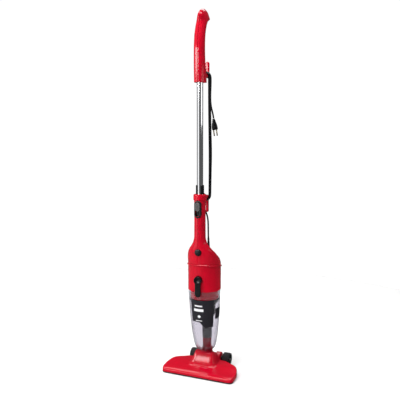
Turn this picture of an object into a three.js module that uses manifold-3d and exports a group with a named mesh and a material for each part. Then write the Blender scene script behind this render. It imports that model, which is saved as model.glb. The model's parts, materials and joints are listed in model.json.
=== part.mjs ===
// Upright stick vacuum cleaner. Millimetres, +Z up, front towards -Y.
// The chrome tube's axis is the line x = 0, y = TUBE_Y; the whole part is shifted so that the
// origin is the middle of the floor area that it covers.
import * as THREE from 'three';
import { mergeVertices, toCreasedNormals } from 'three/addons/utils/BufferGeometryUtils.js';
import Module from 'manifold-3d';

const wasm = await Module();
wasm.setup();

// ---- driving dimensions -------------------------------------------------------------------
const GAP = 0.3;                 // air between neighbouring pieces
const WALL = 2.2;                // thickness of the moulded shells

const TUBE_R = 9.5;              // chrome tube
const TUBE_WALL = 1.1;
const TUBE_LOW = 525;
const TUBE_TOP = 955;

const NECK_TOP = 547;            // top of the upper housing, under the collar
const COLLAR_TOP = 565;
const COLLAR_R = 20;

const BODY_R = 51;               // round motor section
const BODY_Y = 37;               // its centre
const SLEEVE_LOW = 265;
const RIDGE_FRONT = 348;         // height of the raised ridge at the front
const RIDGE_SLOPE = 0.16;        // it drops this much per millimetre towards the back

const AXLE_Y = 93;               // wheel and recline axis
const AXLE_Z = 20.5;
const AXLE_R = 3;
const WHEEL_R = 20.5;
const WHEEL_IN = 45;             // inner and outer face of a wheel
const WHEEL_OUT = 67;

const DUCT_Y = 60;               // suction duct inside the cup
const DUCT_R = 14;
const DUCT_TOP = 148;
const BARREL_R = 15.5;           // turning part of the elbow
const BARREL_HALF = 19;

const HEAD_HALF = 117;           // half width of the floor head
const HEAD_FRONT = -36;
const HEAD_CORNER = 13;
const BUMPER_PROUD = 0.6;        // the rubber strip stands this far out of the cover
// Puts the origin under the middle of the box, from the rubber strip to the back of the wheels.
const SHIFT_Y = -(AXLE_Y + WHEEL_R + HEAD_FRONT - BUMPER_PROUD) / 2;

const CORD_R = 2.5;              // mains cord, 5 mm across
const POST_R = 12.5;             // half width of the cord posts
const POST_TOP = 925;
const POST_LOW = 545;
const HANK_NEAR = 29;            // the wound cord lies between these two planes
const HANK_FAR = 51;

// ---- colours and finishes -----------------------------------------------------------------
const finish = (color, roughness, metalness = 0) => ({ color, roughness, metalness });
const RED = finish('#d0102a', 0.18);
const DEEP_RED = finish('#a80d22', 0.35);
const BLACK = finish('#17171a', 0.4);
const GREY = finish('#565354', 0.35);
const RUBBER = finish('#1c1c1e', 0.8);
const CHROME = finish('#d8dadf', 0.08, 1);
const STEEL = finish('#9a9ca0', 0.3, 1);
const BRASS = finish('#c9a24a', 0.3, 1);
const CLEAR = finish('#cfd2d8', 0.08);
const PAPER = finish('#e6e3da', 0.9);

// ---- solids --------------------------------------------------------------------------------
/** A closed geometry as a solid that can be joined and cut. */
function solid(geometry) {
  const bare = geometry.clone();
  bare.deleteAttribute('normal');
  bare.deleteAttribute('uv');
  const merged = mergeVertices(bare, 1e-4);
  return new wasm.Manifold(new wasm.Mesh({
    numProp: 3,
    vertProperties: new Float32Array(merged.attributes.position.array),
    triVerts: new Uint32Array(merged.index.array),
  }));
}

/** The surface of a solid as a geometry. */
function surface(shape) {
  const mesh = shape.getMesh();
  const geometry = new THREE.BufferGeometry();
  geometry.setAttribute('position', new THREE.BufferAttribute(mesh.vertProperties.slice(), 3));
  geometry.setIndex(new THREE.BufferAttribute(mesh.triVerts.slice(), 1));
  return toCreasedNormals(geometry, 0.6);
}

/** A closed skin through rings of equal point counts, with a fan over each end. */
function loft(rings) {
  const count = rings[0].length;
  const points = rings.flat();
  const faces = [];
  for (let r = 0; r < rings.length - 1; r += 1) {
    for (let i = 0; i < count; i += 1) {
      const a = r * count + i;
      const b = r * count + (i + 1) % count;
      faces.push(a, b, a + count, b, b + count, a + count);
    }
  }
  const cap = (ring, first, flip) => {
    const middle = ring.reduce((sum, p) => sum.add(p), new THREE.Vector3()).divideScalar(count);
    points.push(middle);
    const m = points.length - 1;
    for (let i = 0; i < count; i += 1) {
      const j = (i + 1) % count;
      faces.push(...(flip ? [m, first + j, first + i] : [m, first + i, first + j]));
    }
  };
  cap(rings[0], 0, true);
  cap(rings[rings.length - 1], (rings.length - 1) * count, false);
  const geometry = new THREE.BufferGeometry().setFromPoints(points);
  geometry.setIndex(faces);
  return geometry;
}

/** An ellipse at height z, half widths a and b, centred on y. */
function oval(z, a, b, y, count) {
  return Array.from({ length: count }, (_, i) => {
    const t = 2 * Math.PI * i / count;
    return new THREE.Vector3(a * Math.cos(t), y + b * Math.sin(t), z);
  });
}

/** Stacked ellipses [z, a, b, y], each drawn in by `inset`. */
function stack(sections, count, inset = 0) {
  return solid(loft(sections.map(([z, a, b, y]) => oval(z, a - inset, b - inset, y, count))));
}

/** A box between two corners. */
function box(low, high) {
  const size = high.map((v, i) => v - low[i]);
  const geometry = new THREE.BoxGeometry(...size);
  geometry.translate(...low.map((v, i) => v + size[i] / 2));
  return solid(geometry);
}

/** A cylinder or cone from one point to another. */
function rod(from, to, r, r2 = r, count = 14) {
  const start = new THREE.Vector3(...from);
  const end = new THREE.Vector3(...to);
  const along = end.clone().sub(start);
  const geometry = new THREE.CylinderGeometry(r2, r, along.length(), count);
  geometry.translate(0, along.length() / 2, 0);
  geometry.applyQuaternion(new THREE.Quaternion().setFromUnitVectors(
    new THREE.Vector3(0, 1, 0), along.normalize()));
  geometry.translate(...from);
  return solid(geometry);
}

/** A profile [[r, z], ...] turned about a vertical axis at y; it closes on itself. */
function turned(profile, y = 0, count = 24) {
  const closed = [...profile, profile[0]].map(([r, z]) => new THREE.Vector2(r, z));
  const geometry = new THREE.LatheGeometry(closed, count);
  geometry.rotateX(Math.PI / 2);
  geometry.translate(0, y, 0);
  const made = solid(geometry);
  return made.volume() < 0 ? solid(flip(geometry)) : made;
}

/** The same geometry with its faces turned over. */
function flip(geometry) {
  const turnedOver = geometry.clone();
  const index = turnedOver.index.array;
  for (let i = 0; i < index.length; i += 3) [index[i], index[i + 1]] = [index[i + 1], index[i]];
  return turnedOver;
}

/** A ring between two radii and two heights. */
function ring(inner, outer, low, high, y = 0, count = 24) {
  return turned([[inner, low], [outer, low], [outer, high], [inner, high]], y, count);
}

/** An outline in the X-Z plane, thick from y1 to y2. */
function plateXZ(shape, y1, y2, curveSegments = 6) {
  const geometry = new THREE.ExtrudeGeometry(shape, { depth: y2 - y1, bevelEnabled: false, curveSegments });
  geometry.rotateX(Math.PI / 2);
  geometry.translate(0, y2, 0);
  return solid(geometry);
}

/** An outline in the Y-Z plane, thick from x1 to x2. */
function plateYZ(shape, x1, x2, curveSegments = 6) {
  const geometry = new THREE.ExtrudeGeometry(shape, { depth: x2 - x1, bevelEnabled: false, curveSegments });
  geometry.applyMatrix4(new THREE.Matrix4().makeBasis(
    new THREE.Vector3(0, 1, 0), new THREE.Vector3(0, 0, 1), new THREE.Vector3(1, 0, 0)));
  geometry.translate(x1, 0, 0);
  return solid(geometry);
}

/** A slot outline with round ends, upright, between z1 and z2. */
function slotShape(half, z1, z2) {
  const shape = new THREE.Shape();
  shape.absarc(0, z2 - half, half, 0, Math.PI);
  shape.absarc(0, z1 + half, half, Math.PI, 2 * Math.PI);
  shape.closePath();
  return shape;
}

/** A round tube along a smooth line through points. */
function cordTube(points, steps, sides = 8) {
  const section = new THREE.Shape();
  section.absarc(0, 0, CORD_R, 0, 2 * Math.PI);
  const path = new THREE.CatmullRomCurve3(points.map((p) => new THREE.Vector3(...p)));
  return solid(new THREE.ExtrudeGeometry(section, { steps, curveSegments: sides / 2, extrudePath: path }));
}

const join = (...shapes) => shapes.reduce((all, one) => all.add(one));
const cut = (from, ...shapes) => shapes.reduce((left, one) => left.subtract(one), from);
const BIG = 400;
const leftOf = (shape) => shape.intersect(box([-BIG, -BIG, -BIG], [-GAP / 2, BIG, 3 * BIG]));
const rightOf = (shape) => shape.intersect(box([GAP / 2, -BIG, -BIG], [BIG, BIG, 3 * BIG]));

const vacuum = new THREE.Group();
vacuum.position.y = SHIFT_Y;

/** Adds one solid to the object as a named mesh. */
function piece(name, shape, { color, roughness, metalness }) {
  const material = new THREE.MeshStandardMaterial({ color, roughness, metalness });
  if (material.color.equals(new THREE.Color(CLEAR.color))) {
    material.transparent = true;
    material.opacity = 0.35;
  }
  const mesh = new THREE.Mesh(surface(shape), material);
  mesh.name = name;
  vacuum.add(mesh);
}

// ---- floor head ----------------------------------------------------------------------------
const smooth = (t) => {
  const c = Math.min(Math.max(t, 0), 1);
  return c * c * (3 - 2 * c);
};
const mix = (a, b, t) => a + (b - a) * t;

/** Front and back edge of the head's outline at a distance from the middle. */
function frontEdge(x) {
  const into = Math.max(Math.abs(x) - (HEAD_HALF - HEAD_CORNER), 0);
  return HEAD_FRONT + HEAD_CORNER - Math.sqrt(HEAD_CORNER ** 2 - Math.min(into, HEAD_CORNER) ** 2);
}
const BACK_EDGE = [[0, 72], [44, 72], [60, 71], [77, 61], [103, 44], [113, 26], [117, 8]];
function backEdge(x) {
  const at = Math.abs(x);
  const i = Math.max(BACK_EDGE.findIndex(([bx]) => bx >= at), 1);
  const [[x0, y0], [x1, y1]] = [BACK_EDGE[i - 1], BACK_EDGE[i]];
  return mix(y0, y1, Math.min((at - x0) / (x1 - x0), 1));
}
const HUMP_FLAT = 26;            // half width of the hump's top, and of its foot
const HUMP_FOOT = 46;
const HUMP_RISE = 36;
const HUMP_START = 2;            // the hump rises between these two lines
const HUMP_TOP = 38;
const HUMP_FALL = 12;            // and sinks by this much towards the back
const LIP_Z = 15.5;
const DECK_Z = 25;

/** Height of the cover's top at x, y. */
function deck(x, y) {
  const side = 1 - smooth((Math.abs(x) - 96) / 30) * 0.35;
  const slope = LIP_Z + (DECK_Z - LIP_Z) * smooth((y + 24) / 60) * side;
  const hump = HUMP_RISE * (1 - smooth((Math.abs(x) - HUMP_FLAT) / (HUMP_FOOT - HUMP_FLAT)));
  const fall = HUMP_FALL / HUMP_RISE * smooth((y - HUMP_TOP - 2) / 30);
  return slope + hump * (smooth((y - HUMP_START) / (HUMP_TOP - HUMP_START)) - fall);
}

/** One section of the cover across x, drawn in by `inset`. */
function coverSection(x, inset, low, steps) {
  const y0 = frontEdge(x) + inset;
  const y1 = backEdge(x) - inset;
  const points = [new THREE.Vector3(x, y0, low), new THREE.Vector3(x, y0, 9 - inset)];
  points.push(new THREE.Vector3(x, y0 + 1.6, LIP_Z - 2.2 - inset));
  points.push(new THREE.Vector3(x, y0 + 4.5, LIP_Z + 0.4 - inset));
  for (let i = 1; i <= steps; i += 1) {
    const y = mix(y0 + 8, y1 - 7, i / steps);
    points.push(new THREE.Vector3(x, y, deck(x, y) - inset));
  }
  const rim = deck(x, y1 - 7);
  points.push(new THREE.Vector3(x, y1 - 2, rim - 2.5 - inset), new THREE.Vector3(x, y1, rim - 8 - inset));
  points.push(new THREE.Vector3(x, y1, low));
  return points;
}

function coverBlock(inset, low, steps, at) {
  const stations = [...at.slice(1).reverse().map((x) => -x), ...at];
  const reach = (HEAD_HALF - inset) / HEAD_HALF;
  return solid(loft(stations.map((x) => coverSection(x * reach, inset, low, steps)).reverse()));
}

const COVER_LOW = 4.3;
const ELBOW_BAY = 22;            // half width of the bay that the elbow moves in
const EAR_IN = 20;
const EAR_OUT = 36;
const bay = box([-ELBOW_BAY + 1, 38, -5], [ELBOW_BAY - 1, 200, 90]);
const screwSpots = [[-84, 30], [84, 30], [-46, 60], [46, 60]];

const coverPosts = screwSpots.map(([x, y]) => rod([x, y, 8], [x, y, deck(x, y) - 1], 4, 4, 12));
const coverHoles = screwSpots.map(([x, y]) => rod([x, y, 0], [x, y, 16], 1.9, 1.9, 12));
const coverSkin = coverBlock(0, COVER_LOW, 14, [0, 26, 36, 47, 77, 103, 111, 115, HEAD_HALF]);
const coverHollow = coverBlock(WALL, COVER_LOW - 5, 14, [0, 26, 36, 47, 77, 103, HEAD_HALF]);
piece('head_cover', cut(join(cut(coverSkin, coverHollow), ...coverPosts),
  bay, ...coverHoles), RED);

/** A flat plate with the head's outline, drawn in by `inset`, between two heights. */
function headPlate(inset, low, high) {
  const reach = HEAD_HALF - inset;
  const xs = [-reach, -reach + 2, -reach + 6, -reach + 12, -100, -77, -60, -44];
  const across = [...xs, 0, ...xs.slice().reverse().map((x) => -x)];
  const outer = (x) => x / reach * HEAD_HALF;
  const shape = new THREE.Shape(across.map((x) => new THREE.Vector2(x, frontEdge(outer(x)) + inset)));
  across.slice().reverse().forEach((x) => shape.lineTo(x, backEdge(outer(x)) - inset));
  const geometry = new THREE.ExtrudeGeometry(shape, { depth: high - low, bevelEnabled: false });
  geometry.translate(0, 0, low);
  return solid(geometry);
}

const SLOT = { x: 88, y0: -20, y1: -4 };          // suction mouth
const RUNNER = { x: 101, half: 7, y0: -26, y1: 6, top: 3 };
const runners = [-1, 1].map((s) => box([s * RUNNER.x - RUNNER.half, RUNNER.y0, 0],
  [s * RUNNER.x + RUNNER.half, RUNNER.y1, RUNNER.top]));
const lintGroove = (y) => box([-SLOT.x, y, -1], [SLOT.x, y + 3.4, 3.2]);
piece('base_plate', cut(join(headPlate(WALL + 0.5, 1.5, 4), ...runners),
  box([-SLOT.x, SLOT.y0, -3], [SLOT.x, SLOT.y1, 9]),
  box([-EAR_OUT - 1, 60, -5], [EAR_OUT + 1, 120, 20]),
  ...screwSpots.map(([x, y]) => rod([x, y, -2], [x, y, 9], 2.1, 2.1, 12)),
  lintGroove(0), lintGroove(-27.4)), BLACK);

for (const [name, y] of [['lint_strip_rear', 0.3], ['lint_strip_front', -27.1]]) {
  piece(name, box([-SLOT.x + 1, y, 0.4], [SLOT.x - 1, y + 2.8, 2.9]), DEEP_RED);
}
piece('front_bumper', cut(headPlate(-BUMPER_PROUD, 1.2, 4), headPlate(WALL + 0.2, 0, 9),
  box([-BIG, -18, -5], [BIG, BIG, 20])), RUBBER);

screwSpots.forEach(([x, y], i) => piece(`base_screw_${i + 1}`,
  join(rod([x, y, 0.4], [x, y, 1.2], 3.6, 3.6, 12), rod([x, y, 1], [x, y, 13], 1.6, 1.6, 8)), STEEL));

/** Bracket at the back of the head: a floor and two ears that hold the stub axles. */
const earShape = new THREE.Shape();
earShape.moveTo(72.4, 1.5);
earShape.lineTo(AXLE_Y + 8, 1.5);
earShape.absarc(AXLE_Y, AXLE_Z, 19.5, -1.05, 1.75);
earShape.lineTo(72.4, 28);
earShape.closePath();
const ears = [[-EAR_OUT, -EAR_IN], [EAR_IN, EAR_OUT]].map(([x1, x2]) => plateYZ(earShape, x1, x2, 12));
piece('pivot_bracket', cut(join(box([-EAR_OUT, 60.5, 1.5], [EAR_OUT, AXLE_Y + 8, 4]), ...ears),
  rod([-50, AXLE_Y, AXLE_Z], [50, AXLE_Y, AXLE_Z], AXLE_R + 0.2)), RED);

for (const [side, s] of [['left', -1], ['right', 1]]) {
  const along = (x) => [s * x, AXLE_Y, AXLE_Z];
  piece(`axle_${side}`, rod(along(13), along(WHEEL_OUT + 1), AXLE_R), STEEL);
  const tyre = turned([[15.3, 0], [19, 0], [WHEEL_R, 1.8], [WHEEL_R, 20.2], [19, 22], [15.3, 22]], 0, 24);
  const hub = turned([[AXLE_R + GAP, -8.6], [8, -8.6], [8, 2], [15, 2], [15, 21], [11, 21], [10, 19],
    [5.5, 19], [5, 21.5], [AXLE_R + GAP, 21.5]], 0, 16);
  const placed = (shape) => shape.rotate([0, s * 90, 0]).translate([s * WHEEL_IN, AXLE_Y, AXLE_Z]);
  piece(`wheel_tyre_${side}`, placed(tyre), RUBBER);
  piece(`wheel_hub_${side}`, placed(hub), BLACK);
}

// ---- elbow between head and cup -----------------------------------------------------------------
const SOCKET_R = 18;
const SOCKET_TOP = 64;
const BEND = [0, DUCT_Y + 2, 47];    // where the turning part meets the upright socket
const BORE = 12.4;
const ELBOW_WALL = 3;
const axis = (x) => [x, AXLE_Y, AXLE_Z];
const elbowOuter = join(
  rod(axis(-BARREL_HALF), axis(BARREL_HALF), BARREL_R, BARREL_R, 20),
  rod(axis(0), BEND, 15.3, 17, 20),
  rod([0, DUCT_Y, 42], [0, DUCT_Y, SOCKET_TOP], SOCKET_R, SOCKET_R, 20),
);
const elbowInner = join(
  rod(axis(-BARREL_HALF + ELBOW_WALL), axis(BARREL_HALF - ELBOW_WALL), BORE, BORE, 14),
  rod(axis(0), BEND, BORE, BORE, 14),
  rod([0, DUCT_Y, BEND[2]], [0, DUCT_Y, SOCKET_TOP + 9], DUCT_R + GAP, DUCT_R + GAP, 20),
);
const elbowMouth = box([-BARREL_HALF + 4, 60, 2], [BARREL_HALF - 4, AXLE_Y, AXLE_Z - 1]);
const elbowPinHole = rod(axis(-40), axis(40), AXLE_R + 0.25);
piece('elbow', cut(elbowOuter, elbowInner, elbowMouth, elbowPinHole), RED);

// ---- dust cup --------------------------------------------------------------------------------------
const CUP = [[66, 18, 45], [69, 25.5, 45], [76, 31.2, 44.6], [94, 36.2, 44], [140, 42.5, 41.6],
  [200, 47, 38.8], [264.5, 50, 37]];      // height, radius and centre
const round = (list, inset = 0) => list.map(([z, r, y]) => [z, r - inset, r - inset, y]);
const CUP_WALL = 2.3;
const CUP_NECK_R = 48.2;
const CUP_TOP = 276;
const cupNeck = [[264, CUP_NECK_R, BODY_Y], [CUP_TOP, CUP_NECK_R, BODY_Y]];
const cupOuter = join(stack(round(CUP), 28), stack(round(cupNeck), 28));
const cupFloor = [[68.4, 16, 45], [71, 22.6, 45]];
const cupInner = stack(round([...cupFloor, ...CUP.slice(2), [280, 49, BODY_Y]], CUP_WALL), 28);
const ductHole = rod([0, DUCT_Y, 30], [0, DUCT_Y, 110], DUCT_R + GAP, DUCT_R + GAP, 20);
piece('dust_cup', cut(cupOuter, cupInner, ductHole), CLEAR);
piece('inlet_duct', ring(DUCT_R - 1.8, DUCT_R, 50, DUCT_TOP, DUCT_Y, 20), DEEP_RED);
const FLAP_R = DUCT_R - 0.5;
const FLAP_HINGE = [DUCT_Y + DUCT_R - 1, DUCT_TOP + 1.5];    // y, z
piece('duct_flap', join(
  rod([0, DUCT_Y, DUCT_TOP + 0.4], [0, DUCT_Y, DUCT_TOP + 1.8], FLAP_R, FLAP_R, 20),
  rod([-7, ...FLAP_HINGE], [7, ...FLAP_HINGE], 1.1, 1.1, 8),
), RUBBER);
piece('cup_seal', ring(45, 48, 276.3, 278.2, BODY_Y), RUBBER);

// ---- filter and motor --------------------------------------------------------------------------------
piece('filter_ring', ring(39, 44, 238, 278.2, BODY_Y), RED);
const cageOuter = stack(round([[178, 30, 38], [184, 33, 38], [237.7, 37.5, 37]]), 28);
const cageInner = stack(round([[182, 30, 38], [238.5, 34.5, 37]]), 28);
const cageWindows = [0, 60, 120].map((angle) => box([-60, -7, 190], [60, 7, 228])
  .rotate([0, 0, angle]).translate([0, BODY_Y + 0.5, 0]));
piece('filter_cage', cut(cageOuter, cageInner, ...cageWindows), BLACK);
const pleats = new THREE.Shape(Array.from({ length: 32 }, (_, i) => {
  const r = i % 2 ? 22 : 27;
  return new THREE.Vector2(r * Math.cos(Math.PI * i / 16), r * Math.sin(Math.PI * i / 16));
}));
pleats.holes.push(new THREE.Path().absarc(0, 0, 14, 0, 2 * Math.PI, true));
const pleated = new THREE.ExtrudeGeometry(pleats, { depth: 50, bevelEnabled: false, curveSegments: 6 });
pleated.translate(0, BODY_Y + 0.6, 184);
piece('filter', solid(pleated), PAPER);
piece('partition_plate', ring(24, 48.4, 278.5, 281, BODY_Y), BLACK);
piece('fan_housing', ring(41, 46, 281.3, 296, BODY_Y, 28), BLACK);
const IMPELLER_R = 38;
const IMPELLER_Z = 284;
const blades = Array.from({ length: 6 }, (_, i) => box([7, -0.7, IMPELLER_Z + 1], [IMPELLER_R - 1, 0.7, 293])
  .rotate([0, 0, 60 * i]).translate([0, BODY_Y, 0]));
const backPlate = ring(2.4, IMPELLER_R, IMPELLER_Z, IMPELLER_Z + 1.5, BODY_Y, 28);
const bladeHub = ring(2.4, 8, IMPELLER_Z + 1, 294, BODY_Y, 16);
piece('impeller', join(backPlate, bladeHub, ...blades), GREY);
piece('motor_shaft', rod([0, BODY_Y, 283], [0, BODY_Y, 330], 2.1, 2.1, 12), STEEL);
const MOTOR = [[2.6, 297], [30, 297], [36, 303], [36, 336], [26, 343], [12, 343], [10, 348], [2.6, 348]];
const motorVents = [30, 90, 150].map((angle) => box([-60, -5, 306], [60, 5, 330])
  .subtract(box([-24, -9, 0], [24, 9, 500])).rotate([0, 0, angle]).translate([0, BODY_Y, 0]));
piece('motor', cut(turned(MOTOR, BODY_Y, 28), ...motorVents), STEEL);
piece('motor_mount', ring(36.4, 45, 318, 325, BODY_Y, 28), RUBBER);

// ---- lower sleeve, ridge and upper housing --------------------------------------------------
/** A slab above the tilted plane of the ridge, raised by `lift`. */
function aboveRidge(lift) {
  const slope = Math.atan(RIDGE_SLOPE) * 180 / Math.PI;
  return box([-BIG, -BIG, 0], [BIG, BIG, BIG]).rotate([-slope, 0, 0])
    .translate([0, BODY_Y - BODY_R, RIDGE_FRONT + lift]);
}
const belowRidge = (lift) => box([-BIG, -BIG, -BIG], [BIG, BIG, BIG]).subtract(aboveRidge(lift));
const RIDGE_T = 4;

const latchWindow = plateXZ(slotShape(13.2, 289.3, 316.5), -30, -8);
const VENT = { half: 24, low: 286, high: 3.4, pitch: 8, rows: 5 };
const vents = Array.from({ length: VENT.rows }, (_, row) => {
  const z = VENT.low + VENT.pitch * row;
  return box([-VENT.half, BODY_Y + 30, z], [VENT.half, BODY_Y + 70, z + VENT.high]);
});
const sleeveTube = ring(BODY_R - WALL, BODY_R, SLEEVE_LOW, 352, BODY_Y, 28).intersect(belowRidge(-GAP));
piece('lower_sleeve', cut(sleeveTube, latchWindow, ...vents), RED);
const ridgeTube = ring(BODY_R - WALL - 0.5, BODY_R + 3, 300, 360, BODY_Y, 28);
piece('ridge_ring', ridgeTube.intersect(aboveRidge(0)).intersect(belowRidge(RIDGE_T - GAP)), RED);

const NECK = [17, 17, -0.5];
const HOUSING = [[300, 51, 51, 37], [345, 51, 51, 36.5], [360, 50, 47, 31.5], [374, 47, 37, 21],
  [385, 43, 29.5, 13], [397, 36, 21.5, 4.5], [408, 28, 18.4, 1.2], [420, 21.2, 17.3, 0],
  [436, 17.6, 17, -0.5], [535, ...NECK], [NECK_TOP, 18.5, 18.2, 0.3]];
const RELIEF_LOW = [0, 75, 350];
const RELIEF_TOP = [0, 69, 419];
const housingHull = stack(HOUSING, 24);
const hollow = [HOUSING[0], HOUSING[2], HOUSING[3], HOUSING[5], HOUSING[7], [440, ...NECK], [560, ...NECK]];
const BUTTON_Z = 389;
const BUTTON_R = 10.6;
const housingScrews = [[460, -0.5, 17], [420, 1, 21], [366, 52, 43]];    // z, y, half width there
const BOSS_R = 4;
const SCREW_R = 1.6;
const SCREW_HEAD_R = 3.4;
/** Post between the two halves of a housing that is `w` wide to each side. */
const boss = ([z, y, w]) => rod([-w + 2, y, z], [w - 2, y, z], BOSS_R, BOSS_R, 12);
/** Clearance for a screw that enters from the left. */
const screwTunnel = ([z, y, w]) => join(
  rod([-w - 9, y, z], [w - 4, y, z], SCREW_R + GAP, SCREW_R + GAP, 12),
  rod([-w - 9, y, z], [-w + 5, y, z], SCREW_HEAD_R + GAP, SCREW_HEAD_R + GAP, 12),
);
const screw = ([z, y, w]) => join(
  rod([-w + 3.2, y, z], [-w + 4.8, y, z], SCREW_HEAD_R, SCREW_HEAD_R, 12),
  rod([-w + 4.6, y, z], [w - 5, y, z], SCREW_R, SCREW_R, 8),
);
const housingInner = stack([[290, ...HOUSING[0].slice(1)], ...hollow.slice(1)], 16, WALL + 0.4);
const bossSpace = stack(hollow, 16, 1);
const housingBosses = housingScrews.map((at) => boss(at).intersect(bossSpace));
const housingShell = join(cut(housingHull, housingInner), ...housingBosses);
const housing = cut(housingShell,
  ...housingScrews.map(screwTunnel),
  rod([0, -40, BUTTON_Z], [0, 0, BUTTON_Z], BUTTON_R + 0.6, BUTTON_R + 0.6, 18),
  box([-7.5, -30, 500], [7.5, -8, 541]),
  rod([0, 75.5, 344], [0, 68.6, 424], 6.3, 6.3, 20),
  box([-10.3, 10, 527.7], [10.3, 40, 556])).intersect(aboveRidge(RIDGE_T));
piece('housing_left', leftOf(housing), RED);
piece('housing_right', rightOf(housing), RED);
housingScrews.forEach((at, i) => piece(`housing_screw_${i + 1}`, screw(at), STEEL));
const switchBlock = box([-6.5, -12.5, 499], [6.5, 5, 522]);
piece('switch_block', cut(switchBlock, box([-2.4, -20, 505], [2.4, -9, 517])), BLACK);

// ---- latch, release button and switch ---------------------------------------------------------
const LATCH_PIVOT = [-18.5, 291];      // y, z
const latchTop = rod([0, -21.5, 302.5], [0, -15, 302.5], 12.6, 12.6, 18);
const latchDish = new THREE.SphereGeometry(14, 16, 10);
latchDish.translate(0, -32.5, 305);
const latchStem = plateXZ(slotShape(9.3, 251, 300), -20.2, -15.2);
piece('latch', cut(join(latchTop, latchStem), solid(latchDish),
  rod([-20, ...LATCH_PIVOT], [20, ...LATCH_PIVOT], 1.3, 1.3, 12)), BLACK);
piece('latch_pin', rod([-8.8, ...LATCH_PIVOT], [8.8, ...LATCH_PIVOT], 1, 1, 10), STEEL);
const buttonCap = new THREE.SphereGeometry(30, 20, 20);
buttonCap.translate(0, 9, BUTTON_Z);
const buttonRod = rod([0, -24, BUTTON_Z], [0, -11, BUTTON_Z], BUTTON_R, BUTTON_R, 18);
piece('release_button', buttonRod.intersect(solid(buttonCap)), BLACK);

const bezelOuter = slotShape(11, 494, 548);
bezelOuter.holes.push(new THREE.Path(slotShape(8.2, 498.5, 543.5).getPoints(8).reverse()));
const housingSkin = stack(HOUSING.slice(7).map(([z, a, b, y]) => [z, a + GAP, b + GAP, y]), 24);
const aboveNeck = box([-BIG, -BIG, NECK_TOP - GAP], [BIG, BIG, 3 * BIG]);
piece('switch_bezel', cut(plateXZ(bezelOuter, -20.3, -7), housingSkin, aboveNeck), BLACK);
const SLIDER_TOP = 541.5;
const sliderGrip = plateXZ(slotShape(7.4, 515, SLIDER_TOP), -22.4, -18.2);
const sliderStub = join(box([-1.8, -19, 519], [1.8, -14, 535]), box([-1.8, -18.5, 520], [1.8, -13, 534]));
piece('switch_slider', join(sliderGrip, sliderStub), GREY);

// ---- collar, tube and clip ----------------------------------------------------------------------
const COLLAR_BEVEL = 2;
const COLLAR = [[TUBE_R + GAP, NECK_TOP + GAP], [COLLAR_R, NECK_TOP + GAP],
  [COLLAR_R, COLLAR_TOP - COLLAR_BEVEL], [COLLAR_R - COLLAR_BEVEL, COLLAR_TOP], [TUBE_R + GAP, COLLAR_TOP]];
piece('collar', turned(COLLAR), RED);
piece('chrome_tube', ring(TUBE_R - TUBE_WALL, TUBE_R, TUBE_LOW, TUBE_TOP, 0, 16), CHROME);
piece('tube_clip', cut(ring(TUBE_R + GAP, TUBE_R + 3, COLLAR_TOP + GAP, COLLAR_TOP + 27, 0, 16),
  box([-6, -BIG, 0], [6, -2, 999])), BLACK);

// ---- handle and cord hooks ----------------------------------------------------------------------
const HANDLE_LOW = 894;
const HANDLE = [[HANDLE_LOW, 18, 22.5, 2.8], [925, 17.8, 20.5, 0.5], [955, 17, 16.6, -3.4],
  [990, 16.6, 15.6, -4.3], [1025, 16.6, 14.2, -1.6], [1047.5, 16.4, 15.1, 4.8], [1059.5, 16.3, 16.5, 10],
  [1070.5, 16, 21.2, 17], [1081.5, 15, 34.6, 28], [1088, 13, 31.8, 26.5], [1098.5, 9.5, 26.5, 27.5],
  [1104, 6.5, 17, 27], [1107.5, 1.5, 4, 27]];
const HOOK_FOOT = { low: 912, high: 940 };
const handleScrews = [[992, -4.3, 16.5], [1050, 6, 16.3]];
const handleHollow = [[HANDLE_LOW + 3, 17, 20, 1.5], HANDLE[2], HANDLE[3], ...HANDLE.slice(5, 9),
  [1091, 11.5, 28, 26.8]];
const handleInner = stack(handleHollow, 12, 2.6);
const handleShell = join(cut(stack(HANDLE, 20), handleInner), ...handleScrews.map(boss));
const handle = cut(handleShell, ...handleScrews.map(screwTunnel),
  rod([0, 0, 880], [0, 0, TUBE_TOP + 3], TUBE_R + GAP, TUBE_R + GAP, 28),
  box([-POST_R - GAP, 12, HOOK_FOOT.low - GAP], [POST_R + GAP, 40, HOOK_FOOT.high + GAP]));
piece('handle_left', leftOf(handle), RED);
piece('handle_right', rightOf(handle), RED);
handleScrews.forEach((at, i) => piece(`handle_screw_${i + 1}`, screw(at), STEEL));

const HOOK_TIP = [56, 62];         // y range of the tips behind the wound cord
/** A half-round saddle that the cord bends over, from y1 to y2; `up` is the side it bends on. */
function saddle(z, y1, y2, up) {
  const shape = new THREE.Shape();
  shape.absarc(0, z - up * POST_R, POST_R, up > 0 ? 0 : Math.PI, up > 0 ? Math.PI : 2 * Math.PI);
  shape.closePath();
  return plateXZ(shape, y1, y2, 12);
}
const upperSaddle = saddle(POST_TOP, 14.5, HOOK_TIP[1], 1);
const upperTip = plateXZ(slotShape(6, POST_TOP - 14, 960), ...HOOK_TIP);
piece('upper_hook', join(upperSaddle, upperTip), RED);
const LOWER_HOOK_Z = POST_LOW + POST_R;
const lowerSaddle = saddle(POST_LOW, 22.5, HOOK_TIP[1], -1);
const lowerTip = plateXZ(slotShape(4.4, 503, POST_LOW + 12), ...HOOK_TIP);
piece('lower_hook', join(lowerSaddle, lowerTip), RED);
piece('lower_hook_post', join(rod([0, 20.6, LOWER_HOOK_Z], [0, 22.2, LOWER_HOOK_Z], 10, 10, 20),
  box([-10, 20.6, 530], [10, 22.2, LOWER_HOOK_Z]), box([-10, 11.5, 528], [10, 22.2, NECK_TOP - GAP])), RED);

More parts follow.
